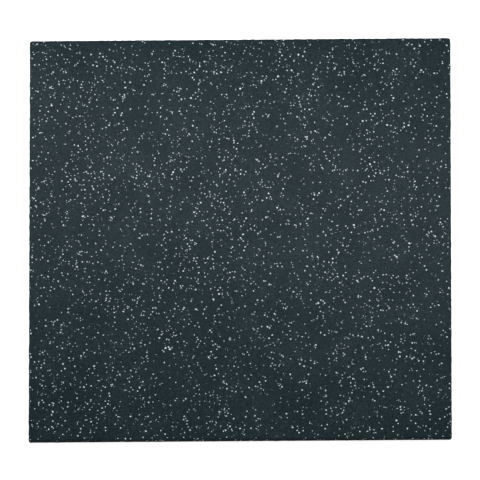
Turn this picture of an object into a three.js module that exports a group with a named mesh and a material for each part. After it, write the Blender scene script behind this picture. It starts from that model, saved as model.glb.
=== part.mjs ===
// Rubber gym floor tile: one square slab of bonded rubber granules, pressed and cured as one piece.
// Millimetres, +Z up. The origin is the centre of the flat underside, X and Y run along the sides,
// and the flecked wear face looks up.

import * as THREE from "three";

// Driving dimensions
const tileWidth = 1000; // along X
const tileLength = 1000; // along Y
const tileThickness = 15;
const cornerRadius = 7; // upright corners, seen in plan
const wearEdgeRadius = 2.5; // rounding round the wear face
const undersideEdgeRadius = 1; // rounding round the underside

// Smoothness of the rounded stretches
const cornerSteps = 10;
const wearEdgeSteps = 6;
const undersideEdgeSteps = 4;
const leastCornerRadius = 0.1; // what is left of a corner where an edge rounding takes all of it

const quarterTurn = Math.PI / 2;

// The tile's outline in plan, drawn in from its sides by an inset, counter-clockwise from the +X side.
function outlineAt(inset) {
  const radius = Math.max(cornerRadius - inset, leastCornerRadius);
  const centreX = tileWidth / 2 - inset - radius;
  const centreY = tileLength / 2 - inset - radius;
  const cornerCentres = [
    [centreX, centreY],
    [-centreX, centreY],
    [-centreX, -centreY],
    [centreX, -centreY],
  ];
  return cornerCentres.flatMap(([x, y], corner) =>
    Array.from({ length: cornerSteps + 1 }, (_, step) => {
      const angle = (corner + step / cornerSteps) * quarterTurn;
      return new THREE.Vector2(x + radius * Math.cos(angle), y + radius * Math.sin(angle));
    }),
  );
}

// The section of the edge from the underside up to the wear face: at each height, how far the outline is
// drawn in. Both roundings are quarter circles, and the side between them is upright.
function edgeSection() {
  const roundingRoom = tileThickness / 2;
  const lower = Math.min(undersideEdgeRadius, roundingRoom);
  const upper = Math.min(wearEdgeRadius, roundingRoom);
  const section = [];
  for (let step = 0; step <= undersideEdgeSteps; step++) {
    const angle = (step / undersideEdgeSteps) * quarterTurn;
    section.push({ inset: lower * (1 - Math.sin(angle)), z: lower * (1 - Math.cos(angle)) });
  }
  for (let step = 0; step <= wearEdgeSteps; step++) {
    const angle = (step / wearEdgeSteps) * quarterTurn;
    const z = tileThickness - upper * (1 - Math.sin(angle));
    section.push({ inset: upper * (1 - Math.cos(angle)), z });
  }
  return section;
}

// One closed body: an outline at each height of the section, walls between neighbouring outlines, and the
// flat underside and wear face across the first and the last.
function slabGeometry() {
  const section = edgeSection();
  const outlines = section.map(({ inset }) => outlineAt(inset));
  const pointsRound = outlines[0].length;
  const positions = outlines.flatMap((outline, level) =>
    outline.flatMap((point) => [point.x, point.y, section[level].z]),
  );

  const triangles = [];
  for (let level = 0; level < section.length - 1; level++) {
    for (let point = 0; point < pointsRound; point++) {
      const next = (point + 1) % pointsRound;
      const below = level * pointsRound;
      const above = below + pointsRound;
      triangles.push(below + point, below + next, above + next);
      triangles.push(below + point, above + next, above + point);
    }
  }
  const wearFace = (section.length - 1) * pointsRound;
  for (const [a, b, c] of THREE.ShapeUtils.triangulateShape(outlines[0], [])) {
    triangles.push(c, b, a);
  }
  for (const [a, b, c] of THREE.ShapeUtils.triangulateShape(outlines.at(-1), [])) {
    triangles.push(wearFace + a, wearFace + b, wearFace + c);
  }

  const geometry = new THREE.BufferGeometry();
  geometry.setAttribute("position", new THREE.Float32BufferAttribute(positions, 3));
  geometry.setIndex(triangles);
  geometry.computeVertexNormals();
  return geometry;
}

// Slate-black bonded rubber: matt, with no metal in it.
const bondedRubber = new THREE.MeshStandardMaterial({ color: 0x2f3a3e, roughness: 0.85, metalness: 0 });

const rubberTile = new THREE.Mesh(slabGeometry(), bondedRubber);
rubberTile.name = "rubber_tile";

const tile = new THREE.Group();
tile.add(rubberTile);

export default tile;
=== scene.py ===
import math

import bpy
import numpy as np
from mathutils import Matrix, Vector
from mathutils.bvhtree import BVHTree


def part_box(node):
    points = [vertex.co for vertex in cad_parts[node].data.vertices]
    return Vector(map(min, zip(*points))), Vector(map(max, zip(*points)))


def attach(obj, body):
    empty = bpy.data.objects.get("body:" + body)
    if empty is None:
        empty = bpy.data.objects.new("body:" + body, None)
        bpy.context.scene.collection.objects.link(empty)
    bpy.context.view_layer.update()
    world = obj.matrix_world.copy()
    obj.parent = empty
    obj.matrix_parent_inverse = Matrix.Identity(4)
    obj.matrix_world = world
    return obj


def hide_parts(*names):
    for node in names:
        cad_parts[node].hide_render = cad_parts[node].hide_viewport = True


# Rubber gym floor tile: a square slab of bonded rubber granules with light flecks, lying flat on a pale
# studio floor. Metres, +Z up, in the CAD frame.
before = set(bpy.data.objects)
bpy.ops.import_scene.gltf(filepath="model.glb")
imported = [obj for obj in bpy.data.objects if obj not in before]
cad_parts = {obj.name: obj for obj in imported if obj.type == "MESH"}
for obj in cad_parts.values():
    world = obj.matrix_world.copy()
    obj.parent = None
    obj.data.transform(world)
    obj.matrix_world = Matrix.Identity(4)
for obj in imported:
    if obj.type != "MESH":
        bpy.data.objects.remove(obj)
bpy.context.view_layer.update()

MM = 0.001
TILE_NODE = "rubber_tile"

# Slab mesh: its points, and the levels of its edge from the underside up
CELLS_ALONG_SIDE = 268
CORNER_STEPS = 5
POINTS_AROUND = 4 * (CELLS_ALONG_SIDE + CORNER_STEPS)
LATTICE_JITTER = 0.3  # of the pitch of the wear face's lattice
UNDERSIDE_EDGE_ANGLES = (0, 45, 90)  # degrees
SIDE_LEVELS = (0.25, 0.5, 0.75)  # of the upright side's height
WEAR_EDGE_ANGLES = (0, 22, 44, 66, 90)  # degrees
# The side's rough rubber is also painted darker, as painted shade of the sides.
SIDE_LEAN = 0.7  # the side's rough rubber ends where the rounding leans outwards less than this

# Relief, always inwards from the CAD surface
SKIN_GAP = 0.08 * MM  # all round, so that a proud fleck still lies inside the CAD box
FACE_RELIEF = 0.16 * MM
EDGE_WAVE = 1.5 * MM  # of the edge's whole height, from one granule to the next
EDGE_RELIEF = 0.45 * MM
CRUMB_LOSS = 0.9 * MM  # depth where a granule has broken out of the edge
CRUMB_LOSS_SHARE = 0.03

# Flecks: how many, how big, and how unevenly they are mixed in
FLECKS_PER_SQUARE_METRE = 5900
FLECK_SIZE = 2.46 * MM
FLECK_SPREAD = 0.9 * MM
FLECK_LEAST = 0.8 * MM
FLECK_MOST = 5.2 * MM
FLECK_SPACING = 0.52  # of the two sizes added, between the centres of neighbours
MIX_REACH = 0.25  # metres from one denser patch to the next, about
MIX_SWING = 0.1  # how much denser or thinner a patch is
MIX_WAVES = 12
MIX_KEPT = 0.7  # share of the tried places that an average patch keeps

# Flecks: the shape of each
FLECK_LEAST_CORNERS = 5
FLECK_MOST_CORNERS = 8
FLECK_SKEW = 0.32  # of the angle between two corners
FLECK_RADII = (0.82, 1.2)  # of half the size
FLECK_STRETCH_SHAPE = 1.6  # of the gamma law that the stretch follows
FLECK_STRETCH_SCALE = 0.16
FLECK_CROWN = 0.88  # of the outline, inside the bevel
FLECK_PROUD = 0.06 * MM
FLECK_ROOT = 0.6 * MM
FLECK_EDGE_INSET = 1.0 * MM
FLECK_DROP = 2.0 * MM  # the furthest below a face that a fleck of that face may lie, at a rounded edge
RAY_HEIGHT = 10.0 * MM

# Flecks: how light each is
CLEAN_TONE = (0.9, 1.0)
FILMED_TONE = (0.12, 0.45)
FILMED_SHARE = 0.14

# Colours, linear
RUBBER_COLOUR = (0.0047, 0.0185, 0.0245)
# The sides' colour is painted shade: darker than the wear face's rubber because the sides lie in shade.
SHADED_SIDE_COLOUR = (0.0045, 0.0075, 0.0090)
DUST_COLOUR = (0.0054, 0.0054, 0.0054)  # what a usual film of grey dust adds
FLECK_COLOUR = (0.645, 0.73, 0.79)
FLOOR_COLOUR = (0.80, 0.80, 0.80)

# Black rubber, which is pressed smooth on the faces and left rough on the sides
FACE_GRANULE = 2.6 * MM
SIDE_GRANULE = 3.2 * MM
GRANULE_TONE = 0.25  # how much lighter or darker than usual a granule may be
GRANULE_ROUGHNESS = 0.08  # how much rougher or smoother
GRANULE_UNEVEN = 0.6  # how far noise pushes a granule's edges about, of its size
GRANULE_UNEVEN_STEP = 0.8  # from one push to the next, of its size
GAP_WIDTH = 0.16  # of a granule
GAP_STRETCH = 1.2  # from one open stretch of the gaps to the next, in granules
GAP_SHUT = 0.15  # what is left of a gap where granules are pressed tight
GAP_OPENING = (0.42, 0.6)  # the noise's values at which a gap begins to open, and is open
GAP_DETAIL = 1.0
# How dark the gaps are painted: painted shade in the pores between granules.
GAP_PAINTED_SHADE = 0.3
FINES_TONE = 0.15  # how much lighter or darker the finest crumbs are
FINES_ACROSS_GRANULE = 3
FINES_DETAIL = 3.0
MOST_DUST = 2.0  # on the dustiest granules, of the usual film
PATCH_SIZE = 0.11
PATCH_TONE = 0.07  # how much lighter or darker than usual a patch may be
PATCH_DUST = 0.47  # how much more or less dusty
USUAL_NOISE = (0.3, 0.7)  # between these lie nearly all values of a noise

# Height of the black rubber's bumps, each a share of its relief
DOME_HEIGHT = 0.5
GAP_DEPTH = 0.9
FINES_HEIGHT = 0.5
GRANULE_HEIGHT = 0.4

# Fleck rubber
SMUDGE_SIZE = 1.1 * MM
SMUDGE_DETAIL = 3.0
SMUDGE_NOISE = (0.32, 0.6)  # the noise's values where a fleck is smudged, and where it is clean
SMUDGE_TONE = (0.8, 1.04)
SMUDGE_ROUGHNESS = (0.85, 0.65)
FLECK_SPECULAR = 0.3
FLECK_GRAIN = 0.5 * MM
FLECK_GRAIN_DEPTH = 0.05 * MM

# Studio
FLOOR_SIZE = 40.0
FLOOR_GAP = 0.3 * MM
FLOOR_ROUGHNESS = 0.9
FLOOR_GLOW = 0.75
WHITE = (1, 1, 1, 1)
SKY_STRENGTH = 0.5
SOFTBOX_SIZE = (2.6, 0.5)
SOFTBOX_POWER = 19.5
SOFTBOX_PLACE = Vector((0.0, 0.53, 1.1))
SOFTBOX_AIM = Vector((0.0, -0.7, 0.0))
SOFTBOX_TURN = math.radians(-7)  # about the upright axis

# The photograph: a long lens looking steeply down on the tile, turned and rolled by a few degrees
CAMERA_LENS = 1500.0
CAMERA_SENSOR = 36.0
CAMERA_AZIMUTH = math.radians(3.81)
CAMERA_TILT = math.radians(18.56)  # off the vertical
CAMERA_ROLL = math.radians(-4.03)
PICTURE_WIDTH = 1.1356  # of the scene, at the tile
PICTURE_CENTRE = Vector((-0.0005, 0.0017, 0.0))
CLIP_NEAR = 0.1  # of the camera's distance
CLIP_FAR = 2.0


class Tile:
    """The CAD solid's own measures: half sides, height, and the radii of its corners and edges."""

    def __init__(self):
        low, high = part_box(TILE_NODE)
        points = np.array([v.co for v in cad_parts[TILE_NODE].data.vertices])
        x, y, z = points.T
        near = 0.01 * MM
        self.half_x, self.half_y = high.x, high.y
        self.bottom, self.top = low.z, high.z
        self.corner_radius = high.x - x[y > high.y - near].max()
        self.wear_edge = high.x - x[z > high.z - near].max()
        self.underside_edge = high.x - x[z < low.z + near].max()


tile = Tile()
rng = np.random.default_rng(85)


# Mesh pieces

def rotation(angle):
    return np.array([[math.cos(angle), -math.sin(angle)], [math.sin(angle), math.cos(angle)]])


def outline(inset):
    """The tile's outline drawn in by an inset, with its outward directions: points along each straight side
    and round each corner, counter-clockwise from the front side's left end."""
    radius = max(tile.corner_radius - inset, 0.0)
    reach_x = tile.half_x - tile.corner_radius
    reach_y = tile.half_y - tile.corner_radius
    along = np.linspace(-1, 1, CELLS_ALONG_SIDE + 1)
    points, outward = [], []
    for turn in range(4):
        turned = rotation(turn * math.pi / 2)
        reach, across = (reach_x, reach_y) if turn % 2 == 0 else (reach_y, reach_x)
        for share in along:
            points.append(turned @ (share * reach, -across - radius))
            outward.append(turned @ (0.0, -1.0))
        for step in range(1, CORNER_STEPS):
            angle = -math.pi / 2 + step / CORNER_STEPS * math.pi / 2
            direction = np.array([math.cos(angle), math.sin(angle)])
            points.append(turned @ (np.array([reach, -across]) + radius * direction))
            outward.append(turned @ direction)
    return np.array(points), np.array(outward)


def edge_section():
    """The tile's edge from the underside to the wear face: inset, height, and how far it leans outwards."""
    section = []
    for angle in np.radians(UNDERSIDE_EDGE_ANGLES):
        lift = tile.underside_edge * (1 - math.cos(angle))
        section.append((tile.underside_edge * (1 - math.sin(angle)), tile.bottom + lift, math.sin(angle)))
    side_bottom = tile.bottom + tile.underside_edge
    side_top = tile.top - tile.wear_edge
    for share in SIDE_LEVELS:
        section.append((0.0, side_bottom + share * (side_top - side_bottom), 1.0))
    for angle in np.radians(WEAR_EDGE_ANGLES):
        lift = tile.wear_edge * math.sin(angle)
        section.append((tile.wear_edge * (1 - math.cos(angle)), side_top + lift, math.cos(angle)))
    return section


def edge_depth(wave):
    """How deep one level of the edge lies below the CAD surface: the wave that all levels share, each
    granule's own share, and the gaps that lost granules leave."""
    depth = wave + EDGE_RELIEF * rng.random(len(wave))
    lost = rng.random(len(wave)) < CRUMB_LOSS_SHARE
    depth[lost] += CRUMB_LOSS * rng.random(lost.sum())
    return depth


def edge_rings():
    """Rings of points round the tile, one at each level of its edge. They lie a little inside the CAD
    surface, at random."""
    wave = EDGE_WAVE * rng.random(POINTS_AROUND)
    wave = (np.roll(wave, 1) + 2 * wave + np.roll(wave, -1)) / 4
    rings = []
    for inset, height, lean in edge_section():
        ring, outward = outline(inset)
        ring = ring - outward * (SKIN_GAP + lean * edge_depth(wave))[:, None]
        if height < (tile.bottom + tile.top) / 2:
            heights = np.full(POINTS_AROUND, height + (1 - lean) * SKIN_GAP)
        else:
            heights = height - (1 - lean) * (SKIN_GAP + FACE_RELIEF * rng.random(POINTS_AROUND))
        rings.append(np.column_stack([ring, heights]))
    return rings


def ring_walls(rings):
    """Faces between each ring and the one above it."""
    faces = []
    for level in range(len(rings) - 1):
        below, above = level * POINTS_AROUND, (level + 1) * POINTS_AROUND
        for i in range(POINTS_AROUND):
            j = (i + 1) % POINTS_AROUND
            faces.append((below + i, below + j, above + j, above + i))
    return faces


def wear_lattice():
    """A lattice of points over the wear face, up to where the corners are rounded. Each point is moved
    about and sunk a little, at random."""
    count = CELLS_ALONG_SIDE + 1
    x = np.linspace(-1, 1, count) * (tile.half_x - tile.corner_radius)
    y = np.linspace(-1, 1, count) * (tile.half_y - tile.corner_radius)
    grid_x, grid_y = np.meshgrid(x, y)
    pitch = x[1] - x[0]
    jitter = LATTICE_JITTER * pitch * rng.uniform(-1, 1, (2, count, count))
    depth = SKIN_GAP + FACE_RELIEF * rng.random((count, count))
    return np.dstack([grid_x + jitter[0], grid_y + jitter[1], tile.top - depth])


def lattice_faces(grid):
    """Faces between neighbouring points of the lattice, from the grid of its points' numbers."""
    corners = np.dstack([grid[:-1, :-1], grid[:-1, 1:], grid[1:, 1:], grid[1:, :-1]])
    return [tuple(face) for face in corners.reshape(-1, 4).tolist()]


def border_faces(grid, last_ring):
    """Faces between the last ring and the lattice. Round a corner they all meet in its last point."""
    rim = []
    for side in (grid[0], grid[:, -1], grid[-1, ::-1], grid[::-1, 0]):
        points = side.tolist()
        rim += points + points[-1:] * (CORNER_STEPS - 1)
    faces = []
    for i in range(POINTS_AROUND):
        j = (i + 1) % POINTS_AROUND
        corners = (last_ring + i, last_ring + j, rim[j], rim[i])
        faces.append(corners if rim[i] != rim[j] else corners[:3])
    return faces


def tile_surface():
    """The whole slab as one closed mesh: rings round its edge, a lattice over the wear face, and a flat
    underside."""
    rings = edge_rings()
    lattice = wear_lattice()
    first = len(rings) * POINTS_AROUND
    grid = first + np.arange(lattice[..., 0].size).reshape(lattice.shape[:2])
    underside = tuple(reversed(range(POINTS_AROUND)))
    faces = [*ring_walls(rings), underside]
    faces += lattice_faces(grid) + border_faces(grid, first - POINTS_AROUND)
    return np.vstack([*rings, lattice.reshape(-1, 3)]), faces


def new_piece(name, points, faces, materials):
    mesh = bpy.data.meshes.new(name)
    mesh.from_pydata([tuple(p) for p in points], [], faces)
    mesh.validate()
    for material in materials:
        mesh.materials.append(material)
    piece = bpy.data.objects.new(name, mesh)
    bpy.context.scene.collection.objects.link(piece)
    return piece


class Face:
    """One face of the tile to scatter flecks on: its centre, the directions along it, its outward normal,
    and how far it reaches along each direction."""

    def __init__(self, centre, along, across, reach):
        self.centre, self.along, self.across = Vector(centre), Vector(along), Vector(across)
        self.normal = self.along.cross(self.across)
        self.reach = np.array(reach)


def fleck_sizes(count):
    return np.clip(rng.normal(FLECK_SIZE, FLECK_SPREAD, count), FLECK_LEAST, FLECK_MOST)


def scatter(face, sizes):
    """A place on the face for each fleck, clear of the flecks before it. The places are random but not
    quite evenly spread, because light and black granules are never mixed perfectly."""
    waves = rng.normal(0, 2 * math.pi / MIX_REACH, (MIX_WAVES, 2))
    phases = rng.uniform(0, 2 * math.pi, MIX_WAVES)
    places = np.full((len(sizes), 2), np.inf)
    for i, size in enumerate(sizes):
        clear = FLECK_SPACING * (size + sizes[:i])
        while True:
            place = rng.uniform(-face.reach, face.reach)
            mix = np.cos(waves @ place + phases).sum() * math.sqrt(2 / MIX_WAVES)
            wanted = rng.random() < MIX_KEPT * (1 + MIX_SWING * mix)
            if wanted and (np.hypot(*(places[:i] - place).T) > clear).all():
                break
        places[i] = place
    return places


def fleck_outline(size):
    """An angular granule's outline: a few corners at uneven angles, longer one way than the other."""
    corners = rng.integers(FLECK_LEAST_CORNERS, FLECK_MOST_CORNERS + 1)
    angles = (np.arange(corners) + rng.uniform(-FLECK_SKEW, FLECK_SKEW, corners)) * 2 * math.pi / corners
    radii = size / 2 * rng.uniform(*FLECK_RADII, corners)
    stretch = rng.gamma(FLECK_STRETCH_SHAPE, FLECK_STRETCH_SCALE) + 1.0
    lengthwise = np.cos(angles) * radii * math.sqrt(stretch)
    crosswise = np.sin(angles) * radii / math.sqrt(stretch)
    turn = rng.uniform(0, math.pi)
    return np.column_stack([lengthwise, crosswise]) @ rotation(turn).T


def fleck_tone():
    """How light a fleck is: most are clean, and some lie under a film of binder and black dust."""
    if rng.random() < FILMED_SHARE:
        return rng.uniform(*FILMED_TONE)
    return rng.uniform(*CLEAN_TONE)


def fleck_mesh(surface, faces_to_fill):
    """Flecks set into the surface: each a low crown, a bevel down to its rim and a root in the rubber."""
    points, polygons, tones = [], [], []

    def land(face, place, lift):
        """The point of the surface under a place on the face, lifted along the face's normal."""
        along, across = np.clip(place, -face.reach, face.reach)
        start = face.centre + face.along * float(along) + face.across * float(across)
        start += face.normal * RAY_HEIGHT
        hit = surface.ray_cast(start, -face.normal, RAY_HEIGHT + FLECK_DROP)[0]
        return hit + face.normal * lift if hit else None

    for face in faces_to_fill:
        area = 4 * face.reach[0] * face.reach[1]
        sizes = fleck_sizes(round(FLECKS_PER_SQUARE_METRE * area))
        for place, size in zip(scatter(face, sizes), sizes):
            shape = fleck_outline(size)
            crown = [land(face, place + FLECK_CROWN * corner, FLECK_PROUD) for corner in shape]
            rim = [land(face, place + corner, -FLECK_PROUD) for corner in shape]
            middle = land(face, place, FLECK_PROUD)
            if middle is None or None in crown or None in rim:
                continue
            root = middle - face.normal * FLECK_ROOT
            first, corners = len(points), len(shape)
            points += [middle, root, *crown, *rim]
            for i in range(corners):
                j = (i + 1) % corners
                crown_i, crown_j = first + 2 + i, first + 2 + j
                rim_i, rim_j = crown_i + corners, crown_j + corners
                polygons.append((first, crown_i, crown_j))
                polygons.append((crown_i, rim_i, rim_j, crown_j))
                polygons.append((first + 1, rim_j, rim_i))
            tones += [fleck_tone()] * (2 + 2 * corners)
    return points, polygons, tones


# Materials

class Nodes:
    """A node tree to build in, with a Principled shader at its end."""

    def __init__(self, name):
        self.material = bpy.data.materials.new(name)
        self.material.use_nodes = True
        self.tree = self.material.node_tree
        self.shader = self.tree.nodes["Principled BSDF"]
        self.place = self.add("ShaderNodeTexCoord").outputs["Object"]

    def add(self, kind, **settings):
        node = self.tree.nodes.new(kind)
        for key, value in settings.items():
            setattr(node, key, value)
        return node

    def link(self, source, target):
        self.tree.links.new(source, target)

    def feed(self, socket, value):
        """Sets a socket to a number, or links it to another node's output."""
        if isinstance(value, bpy.types.NodeSocket):
            self.link(value, socket)
        else:
            socket.default_value = value

    def math(self, operation, first, second):
        node = self.add("ShaderNodeMath", operation=operation)
        self.feed(node.inputs[0], first)
        self.feed(node.inputs[1], second)
        return node.outputs[0]

    def ramp(self, value, low, high, from_low=0.0, from_high=1.0):
        """A value from one range carried over to another, and held at its ends."""
        node = self.add("ShaderNodeMapRange")
        node.inputs["From Min"].default_value = from_low
        node.inputs["From Max"].default_value = from_high
        node.inputs["To Min"].default_value = low
        node.inputs["To Max"].default_value = high
        self.link(value, node.inputs["Value"])
        return node.outputs["Result"]

    def vary(self, value, noise, swing):
        """A value made larger or smaller by up to a share of itself, as a noise says."""
        return self.math("MULTIPLY", value, self.ramp(noise, 1 - swing, 1 + swing, *USUAL_NOISE))

    def noise(self, size, detail=2.0):
        node = self.add("ShaderNodeTexNoise")
        node.inputs["Scale"].default_value = 1 / size
        node.inputs["Detail"].default_value = detail
        self.link(self.place, node.inputs["Vector"])
        return node.outputs["Fac"]

    def pushed_place(self, step, reach):
        """The place on the tile, pushed about by noise, so that what is drawn there has uneven edges."""
        noise = self.add("ShaderNodeTexNoise")
        noise.inputs["Scale"].default_value = 1 / step
        self.link(self.place, noise.inputs["Vector"])
        node = self.add("ShaderNodeVectorMath", operation="MULTIPLY_ADD")
        self.link(noise.outputs["Color"], node.inputs[0])
        node.inputs[1].default_value = (reach, reach, reach)
        self.link(self.place, node.inputs[2])
        return node.outputs["Vector"]

    def cells(self, place, size, feature="F1"):
        node = self.add("ShaderNodeTexVoronoi", feature=feature)
        node.inputs["Scale"].default_value = 1 / size
        self.link(place, node.inputs["Vector"])
        return node

    def shade(self, colour, value):
        """A colour made lighter or darker by a value."""
        node = self.add("ShaderNodeVectorMath", operation="SCALE")
        self.feed(node.inputs[0], colour)
        self.feed(node.inputs["Scale"], value)
        return node.outputs["Vector"]

    def bump(self, height, depth):
        node = self.add("ShaderNodeBump")
        node.inputs["Distance"].default_value = depth
        node.inputs["Strength"].default_value = 1.0
        self.link(height, node.inputs["Height"])
        self.link(node.outputs["Normal"], self.shader.inputs["Normal"])


def granular_rubber(name, colour, dust, granule, relief, roughness, specular):
    """Black granules pressed together in a thin binder, with gaps that open here and there between them;
    the gaps are sunk in the bump and darkened as painted shade. Each granule has its own tone and its own
    share of grey dust, and both also vary in patches."""
    nodes = Nodes(name)
    uneven = nodes.pushed_place(GRANULE_UNEVEN_STEP * granule, GRANULE_UNEVEN * granule)
    cells = nodes.cells(uneven, granule)
    parts = nodes.add("ShaderNodeSeparateColor")
    nodes.link(cells.outputs["Color"], parts.inputs["Color"])
    to_edge = nodes.cells(uneven, granule, "DISTANCE_TO_EDGE").outputs["Distance"]
    opening = nodes.ramp(nodes.noise(granule * GAP_STRETCH, GAP_DETAIL), GAP_SHUT, 1.0, *GAP_OPENING)
    gap = nodes.math("MULTIPLY", nodes.ramp(to_edge, 1.0, 0.0, 0.0, GAP_WIDTH), opening)
    fines = nodes.noise(granule / FINES_ACROSS_GRANULE, FINES_DETAIL)
    patches = nodes.noise(PATCH_SIZE)

    tone = nodes.ramp(parts.outputs["Red"], 1 - GRANULE_TONE, 1 + GRANULE_TONE)
    # Darker in the gaps: painted shade in the pores.
    tone = nodes.math("MULTIPLY", tone, nodes.ramp(gap, 1.0, GAP_PAINTED_SHADE))
    tone = nodes.vary(tone, fines, FINES_TONE)
    tone = nodes.vary(tone, patches, PATCH_TONE)
    cover = nodes.math("MULTIPLY", nodes.ramp(parts.outputs["Red"], 0.0, MOST_DUST), dust)
    cover = nodes.vary(cover, patches, PATCH_DUST)
    base = nodes.add("ShaderNodeVectorMath", operation="ADD")
    nodes.link(nodes.shade(colour, tone), base.inputs[0])
    nodes.link(nodes.shade(DUST_COLOUR, cover), base.inputs[1])
    nodes.link(base.outputs["Vector"], nodes.shader.inputs["Base Color"])

    smoothest, roughest = roughness - GRANULE_ROUGHNESS, roughness + GRANULE_ROUGHNESS
    rough = nodes.ramp(parts.outputs["Green"], smoothest, roughest)
    nodes.link(rough, nodes.shader.inputs["Roughness"])
    nodes.shader.inputs["Specular IOR Level"].default_value = specular

    dome = nodes.math("SUBTRACT", 1.0, cells.outputs["Distance"])
    sunk = nodes.ramp(gap, GAP_DEPTH, 0.0)
    height = nodes.math("ADD", nodes.math("MULTIPLY", dome, DOME_HEIGHT), sunk)
    height = nodes.math("ADD", height, nodes.math("MULTIPLY", fines, FINES_HEIGHT))
    height = nodes.math("ADD", height, nodes.math("MULTIPLY", parts.outputs["Blue"], GRANULE_HEIGHT))
    nodes.bump(height, relief)
    return nodes.material


def fleck_rubber():
    """Light coloured granules: matt, each with its own tone, smudged with black fines from the base."""
    nodes = Nodes("fleck_granules")
    tone = nodes.add("ShaderNodeAttribute", attribute_name="tone").outputs["Fac"]
    smudge = nodes.ramp(nodes.noise(SMUDGE_SIZE, SMUDGE_DETAIL), *SMUDGE_TONE, *SMUDGE_NOISE)
    colour = nodes.shade(FLECK_COLOUR, nodes.math("MULTIPLY", tone, smudge))
    nodes.link(colour, nodes.shader.inputs["Base Color"])
    nodes.link(nodes.ramp(smudge, *SMUDGE_ROUGHNESS), nodes.shader.inputs["Roughness"])
    nodes.shader.inputs["Specular IOR Level"].default_value = FLECK_SPECULAR
    nodes.bump(nodes.noise(FLECK_GRAIN), FLECK_GRAIN_DEPTH)
    return nodes.material


# The tile

def make_slab():
    """The slab itself, in two finishes; the sides' finish is painted darker, as painted shade. Returns its
    surface for the flecks to land on.
    """
    face_rubber = granular_rubber(
        "pressed_face_rubber",
        colour=RUBBER_COLOUR,
        dust=1.0,
        granule=FACE_GRANULE,
        relief=0.1 * MM,
        roughness=0.36,
        specular=0.08,
    )
    # The sides' darker colour is painted shade, not a colour of their own.
    side_rubber_painted_shade = granular_rubber(
        "side_rubber_painted_shade",
        colour=SHADED_SIDE_COLOUR,
        dust=0.25,
        granule=SIDE_GRANULE,
        relief=0.4 * MM,
        roughness=0.7,
        specular=0.03,
    )
    points, faces = tile_surface()
    slab = new_piece("rubber_slab", points, faces, [face_rubber, side_rubber_painted_shade])
    slab.data.shade_smooth()
    upper_leans = [lean for _, _, lean in edge_section()[1:]]
    side_strips = sum(lean >= SIDE_LEAN for lean in upper_leans)
    # The side strips take the rubber that is painted darker, as painted shade.
    material = np.zeros(len(slab.data.polygons), dtype=np.int32)
    material[:POINTS_AROUND * side_strips] = 1
    slab.data.polygons.foreach_set("material_index", material)
    underside = POINTS_AROUND * len(upper_leans)
    slab.data.polygons[underside].use_smooth = False
    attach(slab, "root")
    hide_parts(TILE_NODE)
    return BVHTree.FromPolygons([Vector(p) for p in points], faces)


def make_flecks(surface):
    """Light granules in the wear face, the underside and the four sides."""
    middle = (tile.bottom + tile.top) / 2
    reach_x, reach_y = tile.half_x - FLECK_EDGE_INSET, tile.half_y - FLECK_EDGE_INSET
    reach_z = (tile.top - tile.bottom) / 2 - FLECK_EDGE_INSET
    wear = [Face((0, 0, tile.top), (1, 0, 0), (0, 1, 0), (reach_x, reach_y))]
    under = [Face((0, 0, tile.bottom), (1, 0, 0), (0, -1, 0), (reach_x, reach_y))]
    sides = [
        Face((0, -tile.half_y, middle), (1, 0, 0), (0, 0, 1), (reach_x, reach_z)),
        Face((tile.half_x, 0, middle), (0, 1, 0), (0, 0, 1), (reach_y, reach_z)),
        Face((0, tile.half_y, middle), (-1, 0, 0), (0, 0, 1), (reach_x, reach_z)),
        Face((-tile.half_x, 0, middle), (0, -1, 0), (0, 0, 1), (reach_y, reach_z)),
    ]
    material = fleck_rubber()
    for name, faces in (("wear_face_flecks", wear), ("underside_flecks", under), ("side_flecks", sides)):
        points, polygons, tones = fleck_mesh(surface, faces)
        flecks = new_piece(name, points, polygons, [material])
        tone = flecks.data.attributes.new("tone", "FLOAT", "POINT")
        tone.data.foreach_set("value", np.array(tones, dtype=np.float32))
        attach(flecks, "root")


# Studio

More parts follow.
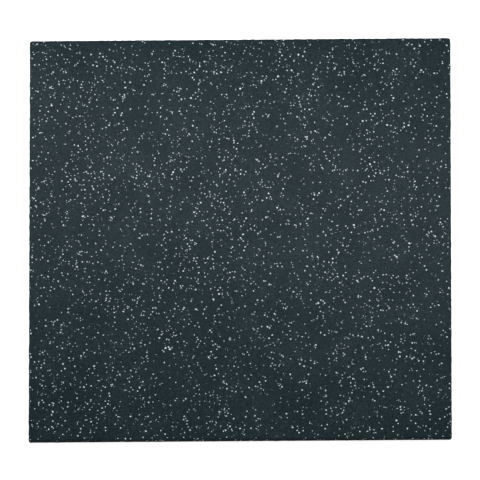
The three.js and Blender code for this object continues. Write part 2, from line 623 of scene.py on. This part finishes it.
def make_floor():
    half = FLOOR_SIZE / 2
    corners = [(-half, -half), (half, -half), (half, half), (-half, half)]
    points = [(x, y, tile.bottom - FLOOR_GAP) for x, y in corners]
    nodes = Nodes("studio_floor")
    nodes.shader.inputs["Base Color"].default_value = (*FLOOR_COLOUR, 1)
    nodes.shader.inputs["Roughness"].default_value = FLOOR_ROUGHNESS
    nodes.shader.inputs["Specular IOR Level"].default_value = 0.0
    nodes.shader.inputs["Emission Color"].default_value = WHITE
    nodes.shader.inputs["Emission Strength"].default_value = FLOOR_GLOW
    new_piece("studio_floor", points, [(0, 1, 2, 3)], [nodes.material])


def make_lights():
    world = bpy.data.worlds.new("studio")
    world.use_nodes = True
    background = world.node_tree.nodes["Background"]
    background.inputs["Color"].default_value = WHITE
    background.inputs["Strength"].default_value = SKY_STRENGTH
    bpy.context.scene.world = world

    softbox = bpy.data.lights.new("softbox", "AREA")
    softbox.shape = "RECTANGLE"
    softbox.size, softbox.size_y = SOFTBOX_SIZE
    softbox.energy = SOFTBOX_POWER
    lamp = bpy.data.objects.new("softbox", softbox)
    turn = Matrix.Rotation(SOFTBOX_TURN, 3, "Z")
    lamp.location = turn @ SOFTBOX_PLACE
    aim = turn @ SOFTBOX_AIM
    lamp.rotation_euler = (aim - lamp.location).to_track_quat("-Z", "Y").to_euler()
    bpy.context.scene.collection.objects.link(lamp)


def make_camera():
    camera = bpy.data.cameras.new("camera")
    camera.lens = CAMERA_LENS
    camera.sensor_width = CAMERA_SENSOR
    distance = PICTURE_WIDTH * CAMERA_LENS / CAMERA_SENSOR
    camera.clip_start, camera.clip_end = distance * CLIP_NEAR, distance * CLIP_FAR
    flat = math.sin(CAMERA_TILT)
    side, front = math.sin(CAMERA_AZIMUTH), -math.cos(CAMERA_AZIMUTH)
    back = Vector((side * flat, front * flat, math.cos(CAMERA_TILT)))
    holder = bpy.data.objects.new("camera", camera)
    look = (-back).to_track_quat("-Z", "Y").to_matrix().to_4x4()
    place = Matrix.Translation(PICTURE_CENTRE + back * distance)
    holder.matrix_world = place @ look @ Matrix.Rotation(CAMERA_ROLL, 4, "Z")
    bpy.context.scene.collection.objects.link(holder)
    bpy.context.scene.camera = holder


make_flecks(make_slab())
make_floor()
make_lights()
make_camera()
bpy.context.scene.view_settings.view_transform = "Standard"
